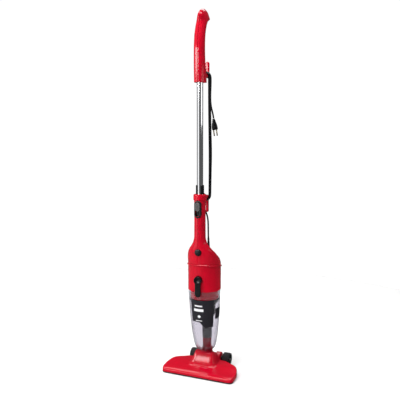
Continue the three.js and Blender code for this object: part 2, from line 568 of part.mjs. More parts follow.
// ---- mains cord -------------------------------------------------------------------------------------
piece('strain_relief', rod(RELIEF_LOW, RELIEF_TOP, 5.8, 3.4, 16), BLACK);
const RELIEF_TIP = [0, 68.95, 419.4];
const LANE_X = POST_R + GAP + CORD_R;              // the cord's line at the sides of the posts
const LOWER_RUN = [RELIEF_TIP, [0.3, 67.4, 434], [1.8, 63, 452], [4.4, 56, 470], [6.4, 47.5, 487],
  [5.2, 39.5, 502], [0.4, 34.5, 515], [-6.5, 32.2, 526], [-12, 31.6, 535], [-LANE_X + 0.2, 31.6, 543]];
piece('cord_lower_run', cordTube(LOWER_RUN, 18), BLACK);

// The wound cord fills a long ring between the two posts.
const hank = new THREE.Shape();
const HANK_R = POST_R + GAP;
const HANK_W = 5.4;
hank.absarc(0, POST_TOP - POST_R, HANK_R + HANK_W, 0, Math.PI);
hank.absarc(0, POST_LOW + POST_R, HANK_R + HANK_W, Math.PI, 2 * Math.PI);
hank.closePath();
const hankHole = new THREE.Path();
hankHole.absarc(0, POST_TOP - POST_R, HANK_R, 0, Math.PI);
hankHole.absarc(0, POST_LOW + POST_R, HANK_R, Math.PI, 2 * Math.PI);
hank.holes.push(hankHole);
piece('cord_hank', plateXZ(hank, HANK_NEAR, HANK_FAR, 12), BLACK);

const PLUG_TOP = [19, 62, 790];
const END_RUN = [[12.5, 54, 880], [11.2, 56, 865], [10.6, 57, 848], [11.6, 58, 830], [15, 60, 813],
  [18.2, 61.6, 800], [PLUG_TOP[0], PLUG_TOP[1], PLUG_TOP[2] + 0.8]];
piece('cord_end_run', cordTube(END_RUN, 10), BLACK);
const along = new THREE.Vector3(0.1, 0.12, -1).normalize();
const across = new THREE.Vector3(0, 1, 0).cross(along).negate().normalize();
/** A point `d` along the plug from its top and `x` to the side. */
const plugPoint = (d, x = 0) => new THREE.Vector3(...PLUG_TOP)
  .addScaledVector(along, d).addScaledVector(across, x).toArray();
const PLUG_NECK = 12;
const PLUG_END = 34;
piece('plug', join(rod(plugPoint(0), plugPoint(PLUG_NECK), 3.6, 6.5, 16),
  rod(plugPoint(PLUG_NECK), plugPoint(PLUG_END), 6.5, 9.2, 16)), BLACK);
for (const [side, s] of [['left', -1], ['right', 1]]) {
  piece(`plug_pin_${side}`, rod(plugPoint(PLUG_END + GAP, s * 4.8), plugPoint(53, s * 4.8), 2, 2, 10), BRASS);
}

export default vacuum;
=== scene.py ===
"""Upright stick vacuum cleaner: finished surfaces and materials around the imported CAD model.

The helpers work in millimetres from the chrome tube's axis, front towards -Y, and turn them
into the frame's metres when a mesh is made.
"""
import json
import math
import bmesh
import bpy
import numpy as np
from mathutils import Matrix, Vector


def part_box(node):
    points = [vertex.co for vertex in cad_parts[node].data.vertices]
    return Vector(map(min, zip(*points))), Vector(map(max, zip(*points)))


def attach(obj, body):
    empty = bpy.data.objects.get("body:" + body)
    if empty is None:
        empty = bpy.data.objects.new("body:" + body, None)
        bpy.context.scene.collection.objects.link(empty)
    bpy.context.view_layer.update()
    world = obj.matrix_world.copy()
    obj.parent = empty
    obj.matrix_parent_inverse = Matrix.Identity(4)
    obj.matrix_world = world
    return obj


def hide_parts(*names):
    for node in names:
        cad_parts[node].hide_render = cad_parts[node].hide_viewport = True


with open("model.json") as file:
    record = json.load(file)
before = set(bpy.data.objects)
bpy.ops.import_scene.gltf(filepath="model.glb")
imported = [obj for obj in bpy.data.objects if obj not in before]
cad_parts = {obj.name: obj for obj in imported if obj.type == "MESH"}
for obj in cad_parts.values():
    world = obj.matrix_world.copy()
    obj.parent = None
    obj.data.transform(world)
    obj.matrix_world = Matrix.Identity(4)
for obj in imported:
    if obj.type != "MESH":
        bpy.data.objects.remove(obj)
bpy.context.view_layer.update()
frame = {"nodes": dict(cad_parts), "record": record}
NODES = frame["nodes"]
MM = 0.001
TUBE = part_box("chrome_tube")
TUBE_Y = (TUBE[0].y + TUBE[1].y) / 2
BODY_OF = {n: b for b, names in frame["record"]["behaviour"]["bodies"].items() for n in names}
SLOT_OF = {s["node"]: s["material_slot"] for s in frame["record"]["subparts"]}
AZIMUTH = 22.5       # of the camera, in degrees to the right of the object's front
TURN = math.radians(AZIMUTH)
AXLE_Y = 93          # the wheels' axis
AXLE_Z = 20.5
DUCT_Y = 60          # axis of the inlet duct
BODY_Y = 37          # axis of the body and the cup's top
BODY_R = 51


def metres(p):
    """A point in millimetres from the tube's axis, in the frame's metres."""
    return Vector((p[0] * MM, TUBE_Y + p[1] * MM, p[2] * MM))


def span(node):
    """Lowest and highest corner of a CAD node, in millimetres from the tube's axis."""
    low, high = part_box(node)
    return [Vector((p.x, p.y - TUBE_Y, p.z)) / MM for p in (low, high)]


def on_axle(x):
    """A point on the wheels' axis."""
    return (x, AXLE_Y, AXLE_Z)


# ---- camera ---------------------------------------------------------------
def make_camera(distance=1.62, height=0.745, tilt=6.965, lens=48.89):
    """A camera that looks slightly down on the object from its front right."""
    data = bpy.data.cameras.new("camera")
    data.lens = lens
    data.sensor_width = 36
    camera = bpy.data.objects.new("camera", data)
    bpy.context.scene.collection.objects.link(camera)
    camera.location = (math.sin(TURN) * distance, TUBE_Y - math.cos(TURN) * distance, height)
    camera.rotation_euler = (math.radians(90 - tilt), 0, TURN)
    bpy.context.scene.camera = camera


make_camera()


# ---- materials ------------------------------------------------------------
class Paint:
    """A principled material with a short way to wire nodes."""

    def __init__(self, name, **sockets):
        self.material = bpy.data.materials.new(name)
        self.material.use_nodes = True
        self.tree = self.material.node_tree
        self.shader = self.tree.nodes["Principled BSDF"]
        for key, value in sockets.items():
            self.shader.inputs[key.replace("_", " ").title().replace("Ior", "IOR")].default_value = value
        self.place = self.tree.nodes.new("ShaderNodeTexCoord").outputs["Object"]

    def node(self, kind, links=(), **settings):
        """A new node with its inputs or settings, and links from other sockets."""
        made = self.tree.nodes.new("ShaderNode" + kind)
        for key, value in settings.items():
            if key in made.inputs:
                made.inputs[key].default_value = value
            else:
                setattr(made, key, value)
        for socket, source in dict(links).items():
            self.tree.links.new(source, made.inputs[socket])
        return made

    def noise(self, scale, detail=3.0, stretch=None):
        vector = self.place
        if stretch:
            vector = self.node("Mapping", {"Vector": self.place}, Scale=stretch).outputs[0]
        return self.node("TexNoise", {"Vector": vector}, Scale=scale, Detail=detail).outputs[0]

    def ramp(self, factor, low, high, at=(0.3, 0.7)):
        """A colour or a grey level that goes from low to high with a factor."""
        made = self.node("ValToRGB", {"Fac": factor})
        for stop, colour, position in zip(made.color_ramp.elements, (low, high), at):
            stop.color = (*colour[:3], 1) if len(colour) > 2 else (colour[0],) * 3 + (1,)
            stop.position = position
        return made.outputs[0]

    def link(self, socket, source):
        self.tree.links.new(source, self.shader.inputs[socket])
        return self

    def bump(self, *layers):
        """Bumps from (height, strength, distance in metres) layers, one on the other."""
        last = None
        for height, strength, distance in layers:
            links = {"Height": height}
            if last is not None:
                links["Normal"] = last
            last = self.node("Bump", links, Strength=strength, Distance=distance).outputs[0]
        return self.link("Normal", last)


def plastic(name, colour, shade, roughness, grain=0.0, specular=0.25):
    """Moulded plastic: slight colour drift, uneven gloss, a faint flow ripple and a fine grain."""
    paint = Paint(name, specular_ior_level=specular)
    drift = paint.noise(9.0, 2.0)
    paint.link("Base Color", paint.ramp(drift, shade, colour))
    wear = paint.noise(40.0, 4.0)
    paint.link("Roughness", paint.ramp(wear, (roughness * 0.85,), (roughness * 1.2,)))
    ripple = paint.noise(24.0, 0.0)
    layers = [(ripple, 0.04, 0.0005)]
    if grain:
        layers.append((paint.noise(1300.0, 1.0), grain, 0.00003))
    paint.bump(*layers)
    return paint.material


def clear_plastic():
    """Clear, faintly smoked cup with fine handling scratches; its colour is painted darker where it is seen
    edge on, as painted shade.
    """
    paint = Paint("clear_plastic", ior=1.46, transmission_weight=1.0)
    # Painted shade: the base colour goes from the light tint at the centre to dark grey towards grazing
    # angles, in place of dark edges from the surroundings.
    painted_edge_shade = paint.node("LayerWeight", Blend=0.5).outputs["Facing"]
    paint.link("Base Color", paint.ramp(painted_edge_shade, (0.74, 0.72, 0.77), (0.25, 0.24, 0.27), (0.35, 0.9)))
    scratch = paint.noise(60.0, 6.0, (1, 1, 14))
    paint.link("Roughness", paint.ramp(scratch, (0.02,), (0.1,)))
    paint.bump((scratch, 0.05, 0.0001), (paint.noise(25.0), 0.05, 0.0004))
    return paint.material


def chrome():
    """Polished chrome plate with faint drawing lines along the tube and some haze."""
    paint = Paint("chrome", base_color=(0.86, 0.87, 0.89, 1), metallic=1.0)
    lines = paint.noise(420.0, 2.0, (1, 1, 0.01))
    haze = paint.noise(14.0, 4.0)
    paint.link("Roughness", paint.ramp(haze, (0.05,), (0.12,)))
    paint.bump((lines, 0.05, 0.00003))
    return paint.material


def metal(name, colour, roughness, stretch=(1, 1, 1)):
    """Drawn or turned metal with a fine grain."""
    paint = Paint(name, metallic=1.0)
    grain = paint.noise(500.0, 3.0, stretch)
    paint.link("Base Color", paint.ramp(grain, [c * 0.8 for c in colour], colour))
    paint.link("Roughness", paint.ramp(paint.noise(80.0), (roughness * 0.8,), (roughness * 1.3,)))
    paint.bump((grain, 0.1, 0.00004))
    return paint.material


def soft_rubber(name, colour, roughness, grain):
    """Matt rubber or soft vinyl with some dust and a fine grain."""
    paint = Paint(name, specular_ior_level=0.25)
    dust = paint.noise(38.0, 6.0)
    paint.link("Base Color", paint.ramp(dust, colour, [c * 1.7 for c in colour]))
    paint.link("Roughness", paint.ramp(dust, (roughness * 0.85,), (roughness * 1.15,)))
    paint.bump((paint.noise(1100.0, 3.0), grain, 0.00012))
    return paint.material


def fibre(name, colour, shade, scale):
    """Felted or pleated fibre sheet."""
    paint = Paint(name, sheen_weight=0.3, specular_ior_level=0.2)
    felt = paint.noise(scale, 8.0)
    paint.link("Base Color", paint.ramp(felt, shade, colour, (0.35, 0.65)))
    paint.link("Roughness", paint.ramp(felt, (0.8,), (1.0,)))
    paint.bump((felt, 0.6, 0.0004))
    return paint.material


RED = (0.52, 0.001, 0.016)
RED_SHADE = (0.46, 0.001, 0.014)
MATERIALS = {
    "red_plastic": plastic("red_plastic", RED, RED_SHADE, 0.13, 0.0, 0.4),
    "deep_red_plastic": plastic("deep_red_plastic", (0.24, 0.003, 0.014), (0.19, 0.002, 0.011), 0.25),
    "black_plastic": plastic("black_plastic", (0.006, 0.006, 0.007), (0.003, 0.003, 0.004), 0.2, 0.05, 0.5),
    "grey_plastic": plastic("grey_plastic", (0.10, 0.093, 0.093), (0.075, 0.07, 0.07), 0.34, 0.15),
    "rubber": soft_rubber("rubber", (0.007, 0.007, 0.008), 0.5, 0.2),
    "cord_pvc": soft_rubber("cord_pvc", (0.004, 0.004, 0.005), 0.34, 0.05),
    "chrome": chrome(),
    "steel": metal("steel", (0.5, 0.5, 0.52), 0.28),
    "brass": metal("brass", (0.78, 0.66, 0.42), 0.2, (1, 1, 0.1)),
    "clear_plastic": clear_plastic(),
    "filter_paper": fibre("filter_paper", (0.78, 0.76, 0.7), (0.6, 0.58, 0.52), 260.0),
    "lint_fabric": fibre("lint_fabric", (0.45, 0.012, 0.03), (0.25, 0.006, 0.016), 900.0),
}
LABEL_DARK = plastic("label_dark", (0.022, 0.020, 0.027), (0.016, 0.015, 0.02), 0.4, 0.0, 0.2)
LABEL_LIGHT = plastic("label_light", (0.82, 0.82, 0.84), (0.74, 0.74, 0.77), 0.45)


# ---- mesh helpers ---------------------------------------------------------
def thing(name, points, faces, scale=True):
    """A mesh object from points in millimetres and faces."""
    mesh = bpy.data.meshes.new(name)
    mesh.from_pydata([metres(p) if scale else p for p in points], [], faces)
    mesh.validate()
    made = bpy.data.objects.new(name, mesh)
    bpy.context.scene.collection.objects.link(made)
    return made


def lofted(name, rings, ends="caps"):
    """A skin through rings of equal counts, capped, or closed end to end."""
    count = len(rings[0])
    points = [p for ring in rings for p in ring]
    faces = []
    last = len(rings) if ends == "closed" else len(rings) - 1
    for r in range(last):
        for i in range(count):
            a, b = r * count + i, r * count + (i + 1) % count
            c = (r + 1) % len(rings) * count
            faces.append((a, b, c + (i + 1) % count, c + i))
    if ends == "caps":
        faces.append(tuple(reversed(range(count))))
        faces.append(tuple(range((len(rings) - 1) * count, len(rings) * count)))
    return thing(name, points, faces)


def outward(obj):
    """Turns the faces of a closed mesh outwards."""
    work = bmesh.new()
    work.from_mesh(obj.data)
    bmesh.ops.recalc_face_normals(work, faces=work.faces)
    work.to_mesh(obj.data)
    work.free()
    return obj


def oval(z, a, b, y, count):
    """A level oval ring of half widths a and b round (0, y)."""
    return [(a * math.cos(t), y + b * math.sin(t), z)
            for t in (2 * math.pi * i / count for i in range(count))]


def spline(rows, steps):
    """Rows of numbers keyed by their first, as a smooth line without overshoot."""
    rows = sorted(rows)
    keys = np.array([r[0] for r in rows], float)
    values = np.array([r[1:] for r in rows], float)
    slope = np.diff(values, axis=0) / np.diff(keys)[:, None]
    tangent = np.zeros_like(values)
    tangent[0], tangent[-1] = slope[0], slope[-1]
    for i in range(1, len(keys) - 1):
        same = slope[i - 1] * slope[i] > 0
        flat = 2 * slope[i - 1] * slope[i] / np.where(same, slope[i - 1] + slope[i], 1)
        tangent[i] = np.where(same, flat, 0)
    out = []
    for i in range(len(keys) - 1):
        width = keys[i + 1] - keys[i]
        for k in range(steps + (i == len(keys) - 2)):
            t = k / steps
            h = (2 * t**3 - 3 * t**2 + 1, t**3 - 2 * t**2 + t, -2 * t**3 + 3 * t**2, t**3 - t**2)
            point = (h[0] * values[i] + h[1] * width * tangent[i]
                     + h[2] * values[i + 1] + h[3] * width * tangent[i + 1])
            out.append((keys[i] + t * width, *point))
    return out


def ease(t):
    """Smooth step from 0 to 1."""
    c = min(max(t, 0), 1)
    return c * c * (3 - 2 * c)


def stack(name, rows, inset=0.0, count=96):
    """A solid through level ovals, from (height, half width, half depth, middle) rows."""
    return outward(lofted(name, [oval(z, a - inset, b - inset, y, count) for z, a, b, y in rows]))


def lathe(name, profile, y=0.0, count=96):
    """A closed profile of (radius, height) turned about a vertical line."""
    rings = []
    for i in range(count):
        t = 2 * math.pi * i / count
        rings.append([(r * math.cos(t), y + r * math.sin(t), z) for r, z in profile])
    return outward(lofted(name, rings, "closed"))


def tube_between(name, start, end, r, r2=None, count=48):
    """A cylinder or cone between two points."""
    start, end = Vector(start), Vector(end)
    side = (end - start).normalized().to_track_quat("Z", "Y")
    r2 = r if r2 is None else r2
    rings = [[at + side @ Vector((rr * math.cos(t), rr * math.sin(t), 0))
              for t in (2 * math.pi * i / count for i in range(count))]
             for at, rr in ((start, r), (end, r2))]
    return outward(lofted(name, rings))


def block(name, low, high):
    """A box between two corners."""
    x, y, z = zip(low, high)
    corners = [(x[i], y[j], z[k]) for k in (0, 1) for j in (0, 1) for i in (0, 1)]
    faces = [(0, 2, 3, 1), (4, 5, 7, 6), (0, 1, 5, 4), (2, 6, 7, 3), (0, 4, 6, 2), (1, 3, 7, 5)]
    return outward(thing(name, corners, faces))


def plate(name, outline, low, high, axis="Y"):
    """A flat outline made thick along Y or X."""
    rings = []
    for depth in (low, high):
        rings.append([(a, depth, b) if axis == "Y" else (depth, a, b) for a, b in outline])
    return outward(lofted(name, rings))


def capsule(half, z1, z2, steps=24):
    """An upright outline with round ends."""
    top = []
    foot = []
    for i in range(steps + 1):
        t = math.pi * i / steps
        top.append((half * math.cos(t), z2 - half + half * math.sin(t)))
        foot.append((-half * math.cos(t), z1 + half - half * math.sin(t)))
    return top + foot


def bake(obj):
    """Applies every modifier."""
    seen = obj.evaluated_get(bpy.context.evaluated_depsgraph_get())
    mesh = bpy.data.meshes.new_from_object(seen)
    obj.modifiers.clear()
    obj.data = mesh
    return obj


def combine(obj, tools, how="DIFFERENCE"):
    """Joins, cuts or intersects a solid with tools, which are used up."""
    for tool in tools:
        step = obj.modifiers.new(how, "BOOLEAN")
        step.operation = how
        step.solver = "EXACT"
        step.object = tool
    bake(obj)
    for tool in tools:
        bpy.data.objects.remove(tool)
    return obj


def cut(obj, *tools):
    return combine(obj, tools)


def join(obj, *tools):
    return combine(obj, tools, "UNION")


def smooth(obj, angle):
    """Smooth shading, except across edges sharper than an angle in degrees."""
    obj.data.shade_smooth()
    obj.data.set_sharp_from_angle(angle=math.radians(angle))
    return obj


def rounded(obj, width, segments=3, angle=38):
    """Rounds the sharp edges by a width in millimetres."""
    step = obj.modifiers.new("round", "BEVEL")
    step.width = width * MM
    step.segments = segments
    step.limit_method = "ANGLE"
    step.angle_limit = math.radians(angle)
    step.use_clamp_overlap = True
    return bake(obj)


def blended(obj, voxel, rounds):
    """Joins and softens a solid by remeshing it at a voxel size in millimetres."""
    step = obj.modifiers.new("voxels", "REMESH")
    step.mode = "VOXEL"
    step.voxel_size = voxel * MM
    step = obj.modifiers.new("soften", "SMOOTH")
    step.iterations = rounds
    step.factor = 0.5
    return bake(obj)


def finish_piece(obj, node, angle=35):
    """The piece stands for a CAD node, rides on its body and takes its material."""
    smooth(obj, angle)
    obj.data.materials.clear()
    obj.data.materials.append(MATERIALS[SLOT_OF[node]])
    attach(obj, BODY_OF[node])
    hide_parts(node)
    return obj


def trim_piece(obj, body, material):
    """A detail with no CAD node of its own."""
    smooth(obj, 35)
    obj.data.materials.clear()
    obj.data.materials.append(material)
    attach(obj, body)
    return obj


# ---- mains cord -----------------------------------------------------------
CORD_D = 5.0
HANK = span("cord_hank")
ARC_DEPTH = 18.2     # from the hank's end to the middle of the arc round a hook
TOP_ARC = HANK[1].z - ARC_DEPTH
LOW_ARC = HANK[0].z + ARC_DEPTH
LANE_X = 15.3        # half of the distance between the up and down runs
FIRST_LANE = HANK[0].y + 2.6
LANE = 5.3           # distance between turns
TURNS = 3
UP_SLACK = (0.0, 2.6, 1.2, 0.6)
DOWN_SLACK = (1.0, 4.8, 2.0)
LOWER_RUN = [(0, 68.95, 419.4), (0.3, 67.4, 434), (1.8, 63, 452), (4.4, 56, 470), (6.4, 47.5, 487),
             (5.2, 39.5, 502), (0.4, 34.5, 515), (-6.5, 32.2, 526), (-12, 31.6, 535), (-15.1, 31.6, 545)]
END_RUN = [(15.3, 48.4, 905), (14.2, 50.8, 893), (12.5, 54, 880), (11.2, 56, 865), (10.6, 57, 848),
           (11.6, 58, 830), (15, 60, 813), (18.2, 61.6, 800), (19, 62, 791)]


def wound_cord():
    """Turns round the two hooks, side by side; the lane changes on the way down."""
    points = []
    length = TOP_ARC - LOW_ARC
    for turn in range(TURNS + 1):
        lane = FIRST_LANE + LANE * turn
        for k in range(1, 10):
            t = k / 10
            bow = UP_SLACK[turn] * math.sin(math.pi * t) ** 2
            points.append((-LANE_X - bow, lane, LOW_ARC + length * t))
        points.append((-LANE_X, lane, TOP_ARC))
        for k in range(1, 8):
            t = math.pi * k / 8
            points.append((-LANE_X * math.cos(t), lane, TOP_ARC + LANE_X * math.sin(t)))
        points.append((LANE_X, lane, TOP_ARC))
        if turn == TURNS:
            break
        for k in range(1, 10):
            t = k / 10
            bow = DOWN_SLACK[turn] * math.sin(math.pi * t ** 1.5) ** 2
            shift = LANE * (3 * t**2 - 2 * t**3)
            points.append((LANE_X + bow, lane + shift, TOP_ARC - length * t))
        lane += LANE
        points.append((LANE_X, lane, LOW_ARC))
        for k in range(1, 8):
            t = math.pi * k / 8
            points.append((LANE_X * math.cos(t), lane, LOW_ARC - LANE_X * math.sin(t)))
        points.append((-LANE_X, lane, LOW_ARC))
    return points


def smooth_curve(name, points, diameter):
    """A round cord through points, as one open curve."""
    data = bpy.data.curves.new(name, "CURVE")
    data.dimensions = "3D"
    line = data.splines.new("NURBS")
    line.points.add(len(points) - 1)
    for knot, p in zip(line.points, points):
        knot.co = (*metres(p), 1)
    line.use_endpoint_u = True
    line.order_u = 4
    data.resolution_u = 4
    data.bevel_depth = diameter / 2 * MM
    data.bevel_resolution = 5
    data.use_fill_caps = True
    made = bpy.data.objects.new(name, data)
    bpy.context.scene.collection.objects.link(made)
    return made


CORD_POINTS = LOWER_RUN + wound_cord() + END_RUN
cord = smooth_curve("mains_cord", CORD_POINTS, CORD_D)
cord.data.materials.append(MATERIALS["cord_pvc"])
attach(cord, "motor_unit")
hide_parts("cord_lower_run", "cord_hank", "cord_end_run")


def strain_relief():
    """Tapered sleeve with slots between its rings."""
    start, end = Vector((0, 75, 350)), Vector((0, 69, 419))
    aim = (end - start).normalized().to_track_quat("Z", "Y")
    reach = (end - start).length
    foot_r, taper, groove_depth = 5.7, 2.5, 0.75
    profile = []
    for i in range(57):
        t = i / 56
        grooved = 0.34 < t < 0.96 and i % 4 in (1, 2)
        profile.append((foot_r - taper * t - (groove_depth if grooved else 0.0), t * reach))
    rings = []
    for r, h in [(2.0, 0)] + profile + [(2.7, reach + 0.1)]:
        rings.append([start + aim @ Vector((r * math.cos(a), r * math.sin(a), h))
                      for a in (2 * math.pi * k / 40 for k in range(40))])
    return outward(lofted("strain_relief_sleeve", rings))


relief = finish_piece(strain_relief(), "strain_relief", angle=50)

PLUG_TOP = Vector((19, 62, 790))
PLUG_AIM = Vector((0.1, 0.12, -1)).normalized()
PLUG_SIDE = Vector((0, 1, 0)).cross(PLUG_AIM).normalized()


def plug_body():
    """Moulded plug: a ribbed neck that widens to a flat-sided grip with a rounded face."""
    front = PLUG_AIM.cross(PLUG_SIDE)
    rows = [(0, 3.0, 3.0), (0.8, 3.5, 3.5), (3, 3.9, 3.9), (12, 6.2, 5.4), (20, 8.0, 6.2), (29, 9.0, 6.6),
            (32.8, 8.6, 6.2), (34, 7.4, 5.2)]
    squareness = 2.8
    rings = []
    for h, a, b in spline(rows, 6):
        rib = 0.35 if 4 < h < 14 and int(h * 1.1) % 2 else 0.0
        ring = []
        for k in range(48):
            t = 2 * math.pi * k / 48
            c, s = math.cos(t), math.sin(t)
            square = (abs(c) ** squareness + abs(s) ** squareness) ** (-1 / squareness)
            ring.append(PLUG_TOP + PLUG_AIM * h + PLUG_SIDE * ((a - rib) * c * square)
                        + front * ((b - rib) * s * square))
        rings.append(ring)
    return outward(lofted("plug_moulding", rings))


plug = finish_piece(plug_body(), "plug", angle=50)
PIN_START, PIN_REACH, PIN_R, PIN_APART = 34.2, 18.4, 2.0, 9.6
for side, s in (("left", -1), ("right", 1)):
    foot = PLUG_TOP + PLUG_AIM * PIN_START + PLUG_SIDE * (PIN_APART / 2) * s
    pin = tube_between(f"plug_prong_{side}", foot, foot + PLUG_AIM * PIN_REACH, PIN_R, count=24)
    finish_piece(rounded(pin, 0.9, 4), f"plug_pin_{side}")


# ---- handle and upper housing: two moulded halves with a seam -------------
SEAM = 0.15          # half of the gap between the halves
SEAM_ROUND = 0.9     # rounding of the seam's edges


def half_shell(name, rows, side, wall, inner_rows, steps=8):
    """One half of a moulded shell; its outer skin dips into the seam with a small radius."""
    rings = []
    for z, a, b, y in spline(rows, steps):
        ring = []
        for k in range(73):
            t = math.pi * (k / 72 - 0.5)
            x = SEAM + (a - SEAM) * math.cos(t)
            near = min((x - SEAM) / SEAM_ROUND, 1)
            dip = SEAM_ROUND * (1 - math.sqrt(max(1 - (1 - near) ** 2, 0)))
            ring.append((x * side, y + (b - dip) * math.sin(t), z))
        rings.append(ring)
    half = outward(lofted(name, rings))
    return cut(half, stack(name + "_hollow", spline(inner_rows, 3), wall, 48))


def screw_recess(node):
    """Tools for the countersunk opening of a screw that enters from the left."""
    low, high = span(node)
    y, z = (low.y + high.y) / 2, (low.z + high.z) / 2
    reach = 3.2 - low.x
    wide = tube_between("recess", (-reach - 9, y, z), (5 - reach, y, z), 3.7)
    thin = tube_between("recess", (-reach - 9, y, z), (-0.4, y, z), 1.9, count=24)
    return [wide, thin]


def screw(node):
    """Pan-head screw with a cross recess, lying along X."""
    low, high = span(node)
    y, z = (low.y + high.y) / 2, (low.z + high.z) / 2
    head = rounded(tube_between(node + "_fine", (low.x, y, z), (low.x + 1.7, y, z), 3.4), 0.5)
    shank = tube_between("shank", (low.x + 1.2, y, z), (high.x, y, z), 1.6, count=24)
    made = join(head, shank)
    for dy, dz in ((2.1, 0.5), (0.5, 2.1)):
        made = cut(made, block("cross", (low.x - 1, y - dy, z - dz), (low.x + 0.8, y + dy, z + dz)))
    return finish_piece(made, node)


# Rows of (height, half width, half depth, middle).
HANDLE = [(894, 18, 22.5, 2.8), (925, 17.8, 20.5, 0.5), (955, 17, 16.6, -3.4), (990, 16.6, 15.6, -4.3),
          (1025, 16.6, 14.2, -1.6), (1047.5, 16.4, 15.1, 4.8), (1059.5, 16.3, 16.5, 10),
          (1070.5, 16, 21.2, 17), (1076.5, 15.6, 28.5, 23), (1081.5, 15, 33.6, 27.2),
          (1088, 13.2, 31.8, 26.5), (1098.5, 9.5, 25, 27.2), (1104, 6, 15, 27), (1106.8, 2.6, 6.5, 27),
          (1107.5, 0.8, 2, 27)]
HANDLE_HOLLOW = [(890, 18, 21, 1.5), (955, 17, 16.6, -3.4), (990, 16.6, 15.6, -4.3),
                 (1047.5, 16.4, 15.1, 4.8), (1059.5, 16.3, 16.5, 10), (1070.5, 16, 21.2, 17),
                 (1081.5, 15, 32, 28), (1091, 11.5, 27, 26.8)]
HANDLE_SCREWS = ("handle_screw_1", "handle_screw_2")
HOOK_FOOT = (911.7, 940.3)     # heights of the opening for the upper hook


def handle_half(side, node):
    """One half of the hand grip."""
    half = half_shell(node + "_fine", HANDLE, side, 2.4, HANDLE_HOLLOW)
    tools = [block("foot", (-12.8, 12, HOOK_FOOT[0]), (12.8, 40, HOOK_FOOT[1]))]
    if side < 0:
        for node_of_screw in HANDLE_SCREWS:
            tools += screw_recess(node_of_screw)
    return finish_piece(cut(half, *tools), node, angle=40)


handle_half(-1, "handle_left")
handle_half(1, "handle_right")

HOUSING = [(300, 51, 51, 37), (345, 51, 51, 36.5), (360, 50, 47, 31.5), (374, 47, 37, 21),
           (385, 43, 29.5, 13), (397, 36, 21.5, 4.5), (408, 28, 18.4, 1.2), (420, 21.2, 17.3, 0),
           (436, 17.6, 17, -0.5), (535, 17, 17, -0.5), (547, 18.5, 18.2, 0.3)]
HOUSING_HOLLOW = [(290, 51, 51, 37), (345, 51, 51, 36.5), (360, 50, 47, 31.5), (374, 47, 37, 21),
                  (397, 36, 21.5, 4.5), (420, 21.2, 17.3, 0), (440, 17, 17, -0.5), (560, 17, 17, -0.5)]
RIDGE_FRONT = 348    # height of the ridge's foot at the front
RIDGE_SLOPE = 0.16
HOUSING_SCREWS = ("housing_screw_1", "housing_screw_2", "housing_screw_3")
BUTTON_Z = 389


def ridge_height(y, lift=0.0):
    """Height of the ridge's foot, which falls towards the back."""
    return RIDGE_FRONT - RIDGE_SLOPE * (y - BODY_Y + BODY_R) + lift


def below_ridge(lift):
    """Everything under the tilted plane of the ridge, down to a level below the body."""
    reach, level = 90, 200
    top = [(-reach, -reach), (reach, -reach), (reach, BODY_Y + reach), (-reach, BODY_Y + reach)]
    rings = [[(x, y, level) for x, y in top], [(x, y, ridge_height(y, lift)) for x, y in top]]
    return outward(lofted("below_ridge", rings))


def housing_half(side, node):
    """One half of the upper housing with its openings."""
    half = half_shell(node + "_fine", HOUSING, side, 2.5, HOUSING_HOLLOW)
    tools = [below_ridge(4.0),
             tube_between("button_hole", (0, -40, BUTTON_Z), (0, 0, BUTTON_Z), 11.2, count=96),
             block("switch_hole", (-7.5, -30, 500), (7.5, -8, 541)),
             tube_between("relief_hole", (0, 75.5, 344), (0, 68.6, 424), 6.3),
             block("post_slot", (-10.3, 10, 527.7), (10.3, 40, 556))]
    if side < 0:
        for node_of_screw in HOUSING_SCREWS:
            tools += screw_recess(node_of_screw)
    return finish_piece(cut(half, *tools), node, angle=40)


housing_half(-1, "housing_left")
housing_half(1, "housing_right")
for node_of_screw in HANDLE_SCREWS + HOUSING_SCREWS:
    screw(node_of_screw)


# ---- ridge, sleeve and vents ----------------------------------------------
def ridge_ring():
    """Tilted lip round the body, rounded outside."""
    lip = [(48.4, 0.0), (52.9, 0.0), (53.6, 0.2), (54.0, 0.7), (54.0, 1.2), (53.9, 1.5), (53.6, 1.9),
           (52.3, 3.2), (51.9, 3.45), (51.5, 3.58), (51.0, 3.6), (48.4, 3.5)]
    count = 192
    rings = []
    for i in range(count):
        t = 2 * math.pi * i / count
        y = BODY_Y + BODY_R * math.sin(t)
        rings.append([(r * math.cos(t), BODY_Y + r * math.sin(t), ridge_height(y, h)) for r, h in lip])
    return outward(lofted("ridge_lip", rings, "closed"))


def ridge_lug(angle):
    """A small raised tab across the ridge."""
    t = math.radians(angle)
    reach = 52.6
    lug = rounded(block("lug", (-3.2, -1.5, 0.6), (3.2, 1.2, 4.6)), 0.8, 3)
    y = BODY_Y - reach * math.cos(t)
    place = Matrix.Translation(metres((reach * math.sin(t), y, ridge_height(y))) - metres((0, 0, 0)))
    pivot = Matrix.Translation(metres((0, 0, 0)))
    lug.data.transform(place @ pivot @ Matrix.Rotation(t, 4, "Z") @ pivot.inverted())
    return lug


finish_piece(join(ridge_ring(), ridge_lug(34), ridge_lug(-34)), "ridge_ring", angle=50)


